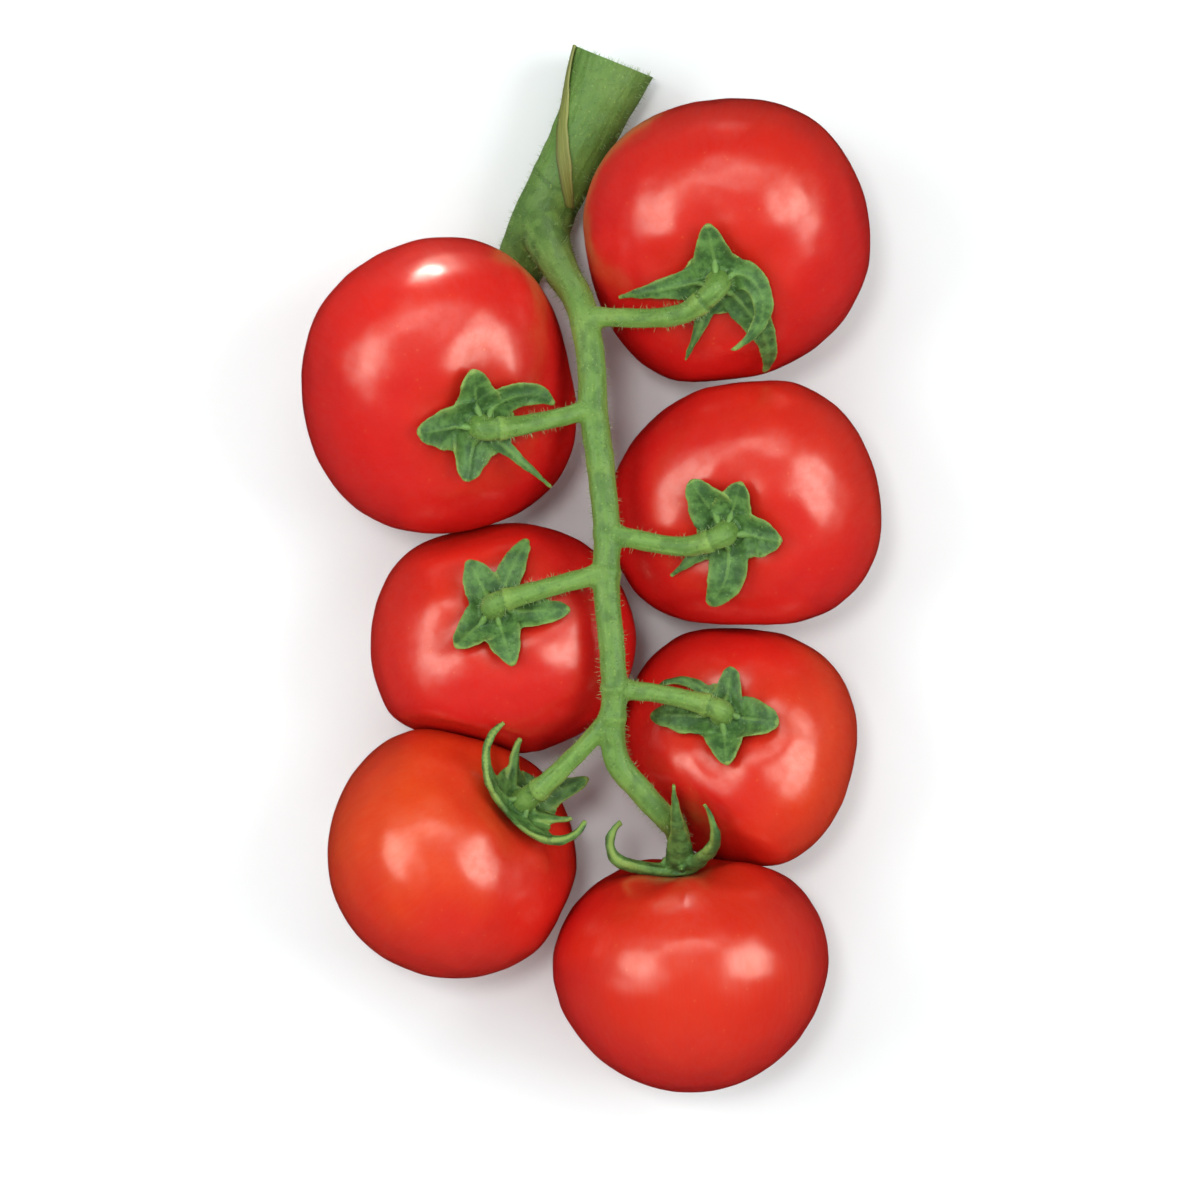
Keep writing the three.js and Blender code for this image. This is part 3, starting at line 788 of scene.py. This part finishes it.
# %% The web between the sepals
WEB_REACH = {6: 7.0, 7: 3.8}
WEB_MOST, WEB_SHARE, WEB_THICK = 6.4, 0.5, 0.42


def add_web(bm, fruit, sepals, marks):
    ring = sorted((sepal.turn % 360, sepal) for sepal in sepals)
    ring.append((ring[0][0] + 360, ring[0][1]))
    web = bmesh.new()
    bmesh.ops.create_uvsphere(web, u_segments=72, v_segments=24, radius=1)
    for vert in web.verts:
        azimuth = math.degrees(math.atan2(vert.co.y, vert.co.x))
        azimuth = ring[0][0] + (azimuth - ring[0][0]) % 360
        before = max(i for i in range(len(ring) - 1) if ring[i][0] <= azimuth)
        (start, left), (end, right) = ring[before], ring[before + 1]
        share = (azimuth - start) / (end - start)
        narrow = clamp(75 / (end - start), 0.5, 1)
        reach = SEPAL_ROOT + WEB_SHARE * mix(left.length, right.length, share) * narrow
        out = min(reach, WEB_REACH.get(fruit.number, WEB_MOST)) * math.hypot(vert.co.x, vert.co.y)
        lifts = [
            sepal_middle(sepal, clamp((out - SEPAL_ROOT) / sepal.length))[1] for sepal in (left, right)
        ]
        x, y = round_at(out, math.radians(azimuth))
        height = fruit.height_at(x, y) + SEPAL_LIFT + mix(*lifts, share) + WEB_THICK * vert.co.z
        on_rim = abs(vert.co.z) < 0.2 and 0.3 < share < 0.7 and fruit.number < 6
        vert.co = (x, y, height)
        if on_rim:
            marks.append((vert.co.copy(), 0.0, 1.0))
    add_all(bm, web)


print("webs reach, in mm:", WEB_REACH)

# %% [markdown]
# Five low ribs climb from the midribs up the hub to the stalk. They are thin rods that start at the
# root of a sepal, and they count as midribs, so they take the same pale green.

# %% Ribs on the hub
RIB_START, RIB_RADIUS = 5.6, [0.25, 0.55, 0.7, 0.7, 0.4]


def add_hub_rib(bm, fruit, turn, marks):
    """A rod from the root of a midrib up to the rim of the hub."""
    azimuth = math.radians(turn)
    foot, rim = fruit.height_at(0, 0), hub_top(fruit)
    start = round_at(RIB_START, azimuth)
    knots = [(RIB_START, fruit.height_at(*start) + SEPAL_LIFT + 0.45), (3.7, foot + HUB_HEIGHT * 0.78),
             (2.7, rim + 0.3), (2.0, rim + 1.3)]
    path = spline([Vector((*round_at(out, azimuth), up)) for out, up in knots], 14)
    add_rod(bm, path, lambda share: along(RIB_RADIUS, share), 12)
    marks.extend((point + UP * 0.5, 1.0, 0.0) for point in path)


print("a rib starts", RIB_START, "mm from the core")

# %% [markdown]
# The blades, the web, the ribs and the hub are fused into one skin, as they have grown. The fused mesh
# knows nothing of midribs and margins, so each of its vertices looks up the nearest mark in a k-d tree
# and takes its values. Noise then puckers the surface a little between the ribs.

# %% Make the calyces
HUB_FOOT, HUB_RIM, HUB_LIFT = 3.2, 2.5, 0.7
CALYX_VOXEL, CALYX_ROUNDS = 0.2, 5


def take_marks(skin, marks):
    """Each vertex takes the marks of the nearest marked place."""
    tree = search_tree([mark[0] for mark in marks])
    midrib = skin.verts.layers.float.new("midrib")
    margin = skin.verts.layers.float.new("margin")
    for vert in skin.verts:
        _, i, gap = tree.find(vert.co)
        near = fade(gap, 0.9, 0.3)
        vert[midrib], vert[margin] = marks[i][1] * near, marks[i][2] * near


def calyx_mesh(fruit):
    bm = bmesh.new()
    marks = []
    for sepal in SEPALS[fruit.number]:
        add_sepal(bm, fruit, sepal, marks)
        add_hub_rib(bm, fruit, sepal.turn, marks)
    add_web(bm, fruit, SEPALS[fruit.number], marks)
    hub = bmesh.new()
    bmesh.ops.create_cone(
        hub, cap_ends=True, segments=32, radius1=HUB_FOOT, radius2=HUB_RIM, depth=HUB_HEIGHT - HUB_LIFT
    )
    middle = fruit.height_at(0, 0) + HUB_HEIGHT / 2 + HUB_LIFT / 2
    bmesh.ops.translate(hub, verts=hub.verts, vec=(0, 0, middle))
    add_all(bm, hub)
    skin = fused(bm, CALYX_VOXEL, CALYX_ROUNDS)
    take_marks(skin, marks)
    midrib = skin.verts.layers.float["midrib"]
    skin.normal_update()
    for vert in skin.verts:
        pucker = noise.noise(vert.co * 0.45) * 0.24 + noise.noise(vert.co * 1.2) * 0.07
        vert.co = fruit.place(vert.co + vert.normal * pucker * (1 - vert[midrib]))
    return mesh_from(skin, f"sepals_{fruit.number}")


for fruit in FRUITS:
    add_piece(f"sepals_{fruit.number}", calyx_mesh(fruit), [calyx_finish],
              f"calyx_{fruit.number}")

# %% [markdown]
# ## The vine
# All the rods go into one bmesh, with a ball at each branch for the knob that the photograph shows, and
# are fused. The stem is made a little too long at both ends and cut afterwards with a plane, because
# the remesh would round off the edge that a knife leaves.

# %% Fuse the vine
STALK_RADIUS = [3.2, 3.3, 2.7, 2.6, 2.5, 2.4, 2.3, 2.3, 2.2, 2.1]
ROOT_FLARE, FLARE_SHARE, ROOT_REACH, ROOT_ROUNDS = 1.9, 0.08, 9, 30
SHORT_RADIUS = [2.3, 1.75, 1.7, 1.75, 1.9, 2.0, 2.35]
STEM_RADIUS = [7.7, 6.1, 5.4, 5.4, 4.4]
KNOB_RADIUS = 2.75
SPARE = 2.5
VINE_VOXEL, VINE_ROUNDS = 0.3, 14


def stalk_radius(share):
    """The main stalk widens where it leaves the stem."""
    return along(STALK_RADIUS, share) + ROOT_FLARE * bell(share, FLARE_SHARE)


upper_way = (stem_path[0] - stem_path[1]).normalized()
lower_way = (stem_path[-1] - stem_path[-2]).normalized()
long_stem = [stem_path[0] + upper_way * SPARE, *stem_path, stem_path[-1] + lower_way * SPARE]
stalk_root = stalk_path[10]

vine = bmesh.new()
add_rod(vine, long_stem, lambda share: along(STEM_RADIUS, share), 40)
add_rod(vine, stalk_path, stalk_radius)
for path in short_paths:
    add_rod(vine, path, lambda share: along(SHORT_RADIUS, share))
    knob_at = Matrix.Translation(path[0])
    bmesh.ops.create_icosphere(vine, subdivisions=2, radius=KNOB_RADIUS, matrix=knob_at)
vine = fused(vine, VINE_VOXEL, VINE_ROUNDS)
root = [vert for vert in vine.verts if (vert.co - stalk_root).length < ROOT_REACH]
for _ in range(ROOT_ROUNDS):
    bmesh.ops.smooth_vert(
        vine, verts=root, factor=0.5, use_axis_x=True, use_axis_y=True, use_axis_z=True
    )
print("fused vine:", len(vine.verts), "vertices")

# %% [markdown]
# Every vertex of the fused vine has to find the rod that it belongs to. The points of all the paths go
# into one k-d tree, each with its side directions, the way gone, the radius and the number of its rod:
# 0 is the stem, 1 is the stalk, and the short stalks follow.

# %% Points along the rods
rods = [(stem_path, STEM_RADIUS), (stalk_path, STALK_RADIUS)]
rods += [(path, SHORT_RADIUS) for path in short_paths]
lengths = [sum((b - a).length for a, b in zip(path, path[1:])) for path, _ in rods]
samples = []
for number, (path, radii) in enumerate(rods):
    gone = 0.0
    for i, (point, (side, other)) in enumerate(zip(path, frames_along(path))):
        gone += (point - path[i - 1]).length if i else 0.0
        samples.append((point, side, other, gone, along(radii, i / (len(path) - 1)), number))
tree = search_tree([sample[0] for sample in samples])
print("points along the rods:", len(samples))

# %% [markdown]
# Where a vertex lies round and along its rod becomes the fibre attribute. The same numbers raise low
# ridges along the stalks, as the strands under the skin of a real one do, and a knuckle on each short
# stalk, where ripe fruit breaks off. The attribute shade darkens the channel on top of the stalks, the
# groove of each knuckle, an old scar on the stem and patches near the root. A second attribute marks
# the pale knuckles, and paints light on the sides of the stalks: a painted sheen, where the hairs at
# the edges would catch the light.

# %% Fibres and ridges
SCAR = [Vector((-10.6, 71.7)), Vector((-8.5, 69.3)), Vector((-7.0, 68.0)), Vector((-4.6, 67.6))]
SCAR_HALF_WIDTH = 0.3
KNUCKLE, KNUCKLE_WIDTH, GROOVE_AWAY, GROOVE_WIDTH = 0.77, 1.1, 0.9, 0.35
FIBRE_SQUEEZE, FIBRE_APART = 0.12, 31


def scar_depth(place):
    """1 in the middle of the old scar on top of the stem, 0 away from it."""
    if place.z < stem_path[30].z or not 66 < place.y < 73:
        return 0.0
    gaps = []
    for start, end in zip(SCAR, SCAR[1:]):
        share = clamp((place.xy - start).dot(end - start) / (end - start).length_squared)
        gaps.append((place.xy - start.lerp(end, share)).length)
    return bell(min(gaps), SCAR_HALF_WIDTH)


fibre = vine.verts.layers.float_vector.new("fibre")
shade = vine.verts.layers.float.new("shade")
pale_knuckles_and_painted_side_light = vine.verts.layers.float.new("pale_knuckles_and_painted_side_light")
vine.normal_update()
moves = []
for vert in vine.verts:
    found = min(tree.find_n(vert.co, 10), key=lambda hit: hit[2] - samples[hit[1]][4])
    point, side, other, gone, radius, number = samples[found[1]]
    offset = vert.co - point
    angle = math.atan2(offset.dot(other), offset.dot(side))
    round_rod = Vector((*round_at(radius, angle), gone * FIBRE_SQUEEZE + number * FIBRE_APART))
    vert[fibre] = round_rod
    ridge = noise.noise(round_rod * 0.9) * 0.13 + noise.noise(vert.co * 0.35) * 0.14
    top = fade(vert.normal.z, 0.55, 0.95) if number else 0.0
    channel = top * fade(noise.noise(vert.co * 0.3), 0.0, 0.35)
    knuckle = groove = beyond = 0.0
    if number > 1:
        away = gone - KNUCKLE * lengths[number]
        knuckle = bell(away, KNUCKLE_WIDTH)
        groove = bell(away - GROOVE_AWAY, GROOVE_WIDTH)
        beyond = fade(away, 0.6, 1.4)
    scar = scar_depth(vert.co)
    patch = bell((vert.co - stalk_root).length, ROOT_REACH)
    patch *= fade(noise.noise(vert.co * 0.4 + Vector((0, 7, 0))), 0.0, 0.25)
    plain = (0.55, 0.22)[number] if number < 2 else 0.0
    dark = plain + 0.6 * channel + 0.6 * groove + 0.12 * beyond + 0.9 * scar + 0.9 * patch
    # The sides of each rod are painted paler: painted light, where the hairs at the edges would catch
    # it.
    edge = fade(vert.normal.z, 0.6, 0.1) * (1 if number else 0.2)
    vert[shade] = clamp(dark)
    vert[pale_knuckles_and_painted_side_light] = clamp(edge + 0.8 * knuckle - groove)
    ridge += 0.26 * knuckle - 0.22 * groove - 0.14 * scar - 0.10 * channel
    moves.append((vert, vert.normal * ridge))
for vert, move in moves:
    vert.co += move
print("ridges on", len(moves), "vertices")

# %% [markdown]
# Two planes cut the stem clean. Each cut is filled, the filled face is inset to leave a green rim, and
# the middle is sunk a little, as the pith of a cut stem is after a day.

# %% Cut the stem
UPPER_SLANT = 0.1
PITH_DEPTH = 0.35


def cut_clean(bm, at, outward, reach, rim):
    near = [vert for vert in bm.verts if (vert.co - at).length < reach]
    chosen = set(near)
    edges = [edge for edge in bm.edges if chosen.issuperset(edge.verts)]
    faces = [face for face in bm.faces if chosen.issuperset(face.verts)]
    cut = bmesh.ops.bisect_plane(
        bm, geom=near + edges + faces, dist=0.0001, plane_co=at, plane_no=outward, clear_outer=True
    )
    rim_edges = [item for item in cut["geom_cut"] if isinstance(item, bmesh.types.BMEdge)]
    cap = bmesh.ops.holes_fill(bm, edges=rim_edges, sides=0)["faces"]
    bmesh.ops.inset_region(bm, faces=cap, thickness=rim * 0.35, depth=0)
    bmesh.ops.inset_region(bm, faces=cap, thickness=rim, depth=-PITH_DEPTH)
    middle = bmesh.ops.poke(bm, faces=cap)["faces"]
    for face in middle:
        face.material_index = 1
    return len(middle)


slant = Vector((*upper_way.xy, UPPER_SLANT)).normalized()
upper = cut_clean(vine, stem_path[0], slant, reach=11, rim=0.8)
lower = cut_clean(vine, stem_path[-1], lower_way, reach=7, rim=0.6)
print("faces in the two cuts:", upper, lower)

# %% [markdown]
# The cut itself is paler than the outside, with wet dots where the strands end. Its finish reads plain
# object coordinates, since it is nearly flat.

# %% Finish of the cut and the vine piece
cut_finish, tree, shader = new_finish("stem_cut")
place = object_place(tree)
patches = blotches(tree, place, 900, 0.35, 0.65)
pith = mix_colour(tree, patches, (0.30, 0.40, 0.16, 1), (0.44, 0.50, 0.25, 1))
strands = pale_dots(tree, place, 800, 0.35, 0.6)
colour = layered(tree, pith, [(strands, 0.7, (0.16, 0.24, 0.07, 1))])
set_inputs(tree, shader, {
    "Base Color": colour, "Roughness": 0.55, "Subsurface Weight": 0.1,
    "Subsurface Radius": (0.6, 1.0, 0.3), "Subsurface Scale": 0.001,
})

vine_mesh = mesh_from(vine, "vine_stalks")
add_piece("vine_stalks", vine_mesh, [vine_finish, cut_finish], "vine")
vine_mesh.set_sharp_from_angle(angle=math.radians(50))

# %% [markdown]
# ## The bract
# A dry strip of an old leaf base winds along the stem. The attribute strip says how far across and
# along the strip a point is. The finish reads it for the long veins, the pale edge, and a painted
# shadow along the other edge.

# %% Bract finish
bract_finish, tree, shader = new_finish("bract_olive")
strip = attribute(tree, "strip", "Vector")
across = add_node(tree, "ShaderNodeSeparateXYZ", {"Vector": strip}).outputs["X"]
stretch = {"Vector": strip, "Scale": (5, 0.12, 1)}
stretched = add_node(tree, "ShaderNodeMapping", stretch).outputs["Vector"]
patches = blotches(tree, stretched, 1.2, 0.35, 0.65)
dry = mix_colour(tree, patches, (0.140, 0.160, 0.026, 1), (0.235, 0.240, 0.052, 1))
colour = layered(tree, dry, [
    (spread(tree, across, -0.55, -1.0), 0.7, (0.36, 0.36, 0.12, 1)),
    # painted shadow: one edge of the strip is darkened, as if shaded where it meets the stem
    (spread(tree, across, 0.45, 0.95), 0.8, (0.050, 0.050, 0.012, 1)),
])
veins = fine_noise(tree, stretched, 2.5, 3.0)
set_inputs(tree, shader, {"Base Color": colour, "Roughness": 0.6, "Normal": bump(tree, veins, 0.4)})

# %% [markdown]
# Like a sepal the bract is a cylinder pressed flat, but its path is given on the stem: a share of the
# stem's length, and an angle round it in degrees. Slow waves keep its width and its curl uneven.

# %% Make the bract
BRACT_START, BRACT_END = (0.005, 172), (0.62, 46)
BRACT_WIDTH, BRACT_THICK = 2.8, 0.7
BRACT_TAPER = [0.75, 0.9, 1, 1, 1, 1, 0.8]
BRACT_SIDES, BRACT_RINGS = 28, 73


def on_stem(share, around, off):
    spot = clamp(share) * (len(stem_path) - 1)
    before = min(int(spot), len(stem_path) - 2)
    ahead = (stem_path[before + 1] - stem_path[before]).normalized()
    side = Vector((ahead.y, -ahead.x, 0)).normalized()
    radius = along(STEM_RADIUS, share) + off
    middle = stem_path[before].lerp(stem_path[before + 1], spot - before)
    return middle + radius * (math.sin(around) * side.cross(ahead) - math.cos(around) * side)


bm = ringed_cylinder(BRACT_SIDES, BRACT_RINGS)
strip = bm.verts.layers.float_vector.new("strip")
for vert in bm.verts:
    across, face, share = vert.co.x, vert.co.y, vert.co.z + 0.5
    stem_share = mix(BRACT_START[0], BRACT_END[0], share)
    around = math.radians(mix(BRACT_START[1], BRACT_END[1], share * share))
    half = BRACT_WIDTH / 2 * along(BRACT_TAPER, share)
    half *= 1 + 0.06 * math.sin(19 * share) + 0.04 * math.sin(43 * share)
    thick = math.copysign(abs(face) ** 0.5, face) * BRACT_THICK / 2
    thick *= 0.55 + 0.45 * (1 - across * across)
    curl = 0.25 * across * across * (0.5 + 0.5 * math.sin(11 * share))
    vert[strip] = (across, share * 26, 0)
    turned = around + across * half / along(STEM_RADIUS, stem_share)
    vert.co = on_stem(stem_share, turned, BRACT_THICK / 2 - 0.15 + thick + curl)
bmesh.ops.recalc_face_normals(bm, faces=bm.faces)
add_piece("bract_strip", mesh_from(bm, "bract_strip"), [bract_finish], "bract")

# %% [markdown]
# ## Hairs
# Tomato plants are hairy. The hairs are far finer than a pixel of the photograph, but they catch light
# along the edges of the stalks. Each is a three-sided cone of a few faces, set on a face that is drawn
# by area, and it leans a little away from the face's normal. A fixed seed keeps them the same each run.

# %% Make the hairs
HAIRS, LONGEST_HAIR, HAIR_SEED = 3400, 1.25, 11
HAIR_FOOT, HAIR_TIP, HAIR_SINK, HAIR_LEAN = 0.05, 0.012, 0.12, 0.45

hair_finish, tree, shader = new_finish("pale_hair")
tones = blotches(tree, object_place(tree), 400, 0.35, 0.65)
colour = mix_colour(tree, tones, (0.20, 0.32, 0.10, 1), (0.42, 0.52, 0.24, 1))
set_inputs(tree, shader, {"Base Color": colour, "Roughness": 0.5})

draw = random.Random(HAIR_SEED)
faces = list(vine_mesh.polygons)
hairs = bmesh.new()
for face in draw.choices(faces, weights=[face.area for face in faces], k=HAIRS):
    foot = Vector(face.center) * 1000 - SHIFT
    lean = Vector((draw.uniform(-1, 1), draw.uniform(-1, 1), draw.uniform(-1, 1))) * HAIR_LEAN
    length = LONGEST_HAIR * draw.uniform(0.45, 1)
    turn = UP.rotation_difference((face.normal + lean).normalized()).to_matrix().to_4x4()
    lift = Matrix.Translation((0, 0, length / 2 - HAIR_SINK))
    bmesh.ops.create_cone(
        hairs, cap_ends=True, segments=3, radius1=HAIR_FOOT, radius2=HAIR_TIP, depth=length,
        matrix=Matrix.Translation(foot) @ turn @ lift,
    )
add_piece("vine_hairs", mesh_from(hairs, "vine_hairs"), [hair_finish])

# %% [markdown]
# ## Light, floor and camera
# The photograph looks straight down on the truss. Two large soft lights stand left and right of it, so
# every fruit shows two soft patches of shine, and one at the top joins the two. They are a little cool,
# so that the shine stays pale on the red. A small low light far behind, with a narrow beam, makes the
# spark on the second fruit. Overhead, a wide light fills the shadows and a small one drops them to the
# lower right, and a wide one below the picture fills the lower edges. These three, the floor and the
# plain world don't show in the shine. The floor is pale, with no pattern.

# %% Floor and light
floor_finish, tree, shader = new_finish("pale_floor")
set_inputs(tree, shader, {"Base Color": (0.82, 0.82, 0.82, 1), "Roughness": 0.9})
bm = bmesh.new()
bmesh.ops.create_grid(bm, x_segments=1, y_segments=1, size=3)
bmesh.ops.translate(bm, verts=bm.verts, vec=(0, 0, -0.00005))
floor_mesh = mesh_from(bm, "floor")
floor_mesh.materials.append(floor_finish)
floor = new_object("floor", floor_mesh)


def soft_light(name, at, aim, size, watts, colour=(1, 1, 1)):
    light = bpy.data.lights.new(name, "AREA")
    light.shape = "ELLIPSE"
    light.size, light.size_y = size
    light.energy = watts
    light.color = colour
    lamp = new_object(name, light)
    lamp.location = at
    lamp.rotation_euler = (Vector(aim) - Vector(at)).to_track_quat("-Z", "Y").to_euler()
    return lamp


COOL = (0.87, 1.0, 1.0)
TRUSS = (0, 0, 0.02)
soft_light("left_light", (-0.72, 0.10, 0.78), TRUSS, (0.78, 0.66), 5.0, COOL)
soft_light("right_light", (0.72, 0.10, 0.78), TRUSS, (0.70, 0.66), 5.8, COOL)
soft_light("upper_light", (-0.05, 0.62, 0.95), TRUSS, (1.00, 0.40), 2.5, COOL)
spark = soft_light("spark_light", (-0.07, 0.95, 0.055), (-0.30, 0.055, 0.03), (0.05, 0.05), 0.9)
spark.data.spread = math.radians(40)
key = soft_light("key_light", (-0.14, 0.12, 1.25), TRUSS, (0.20, 0.20), 4.2)
fill = soft_light("fill_light", (-0.05, -0.30, 1.2), (0, 0, 0), (2.6, 2.6), 9.6)
low_fill = soft_light("low_fill_light", (0.05, -0.95, 0.28), (0, -0.03, 0.02), (1.4, 0.4), 2.2)
for item in (key, fill, low_fill, floor):
    item.visible_glossy = False

world = bpy.data.worlds.new("studio")
bpy.context.scene.world = world
world.use_nodes = True
background = world.node_tree.nodes["Background"]
set_inputs(world.node_tree, background, {"Color": (1, 1, 1, 1), "Strength": 0.12})
world.cycles_visibility.glossy = False
print("lights:", [item.name for item in bpy.data.lights])

# %% [markdown]
# The camera hangs over the truss with a long lens, which keeps the fruits at the rim of the picture
# from showing their sides. The standard view transform keeps the red saturated.

# %% Camera
camera = bpy.data.cameras.new("camera")
camera.lens = 150
camera.sensor_width = 36
camera_object = new_object("camera", camera)
camera_object.location = (0.00147, -0.00645, 0.923)
bpy.context.scene.camera = camera_object
bpy.context.scene.view_settings.view_transform = "Standard"
print("camera at", camera_object.location[:])
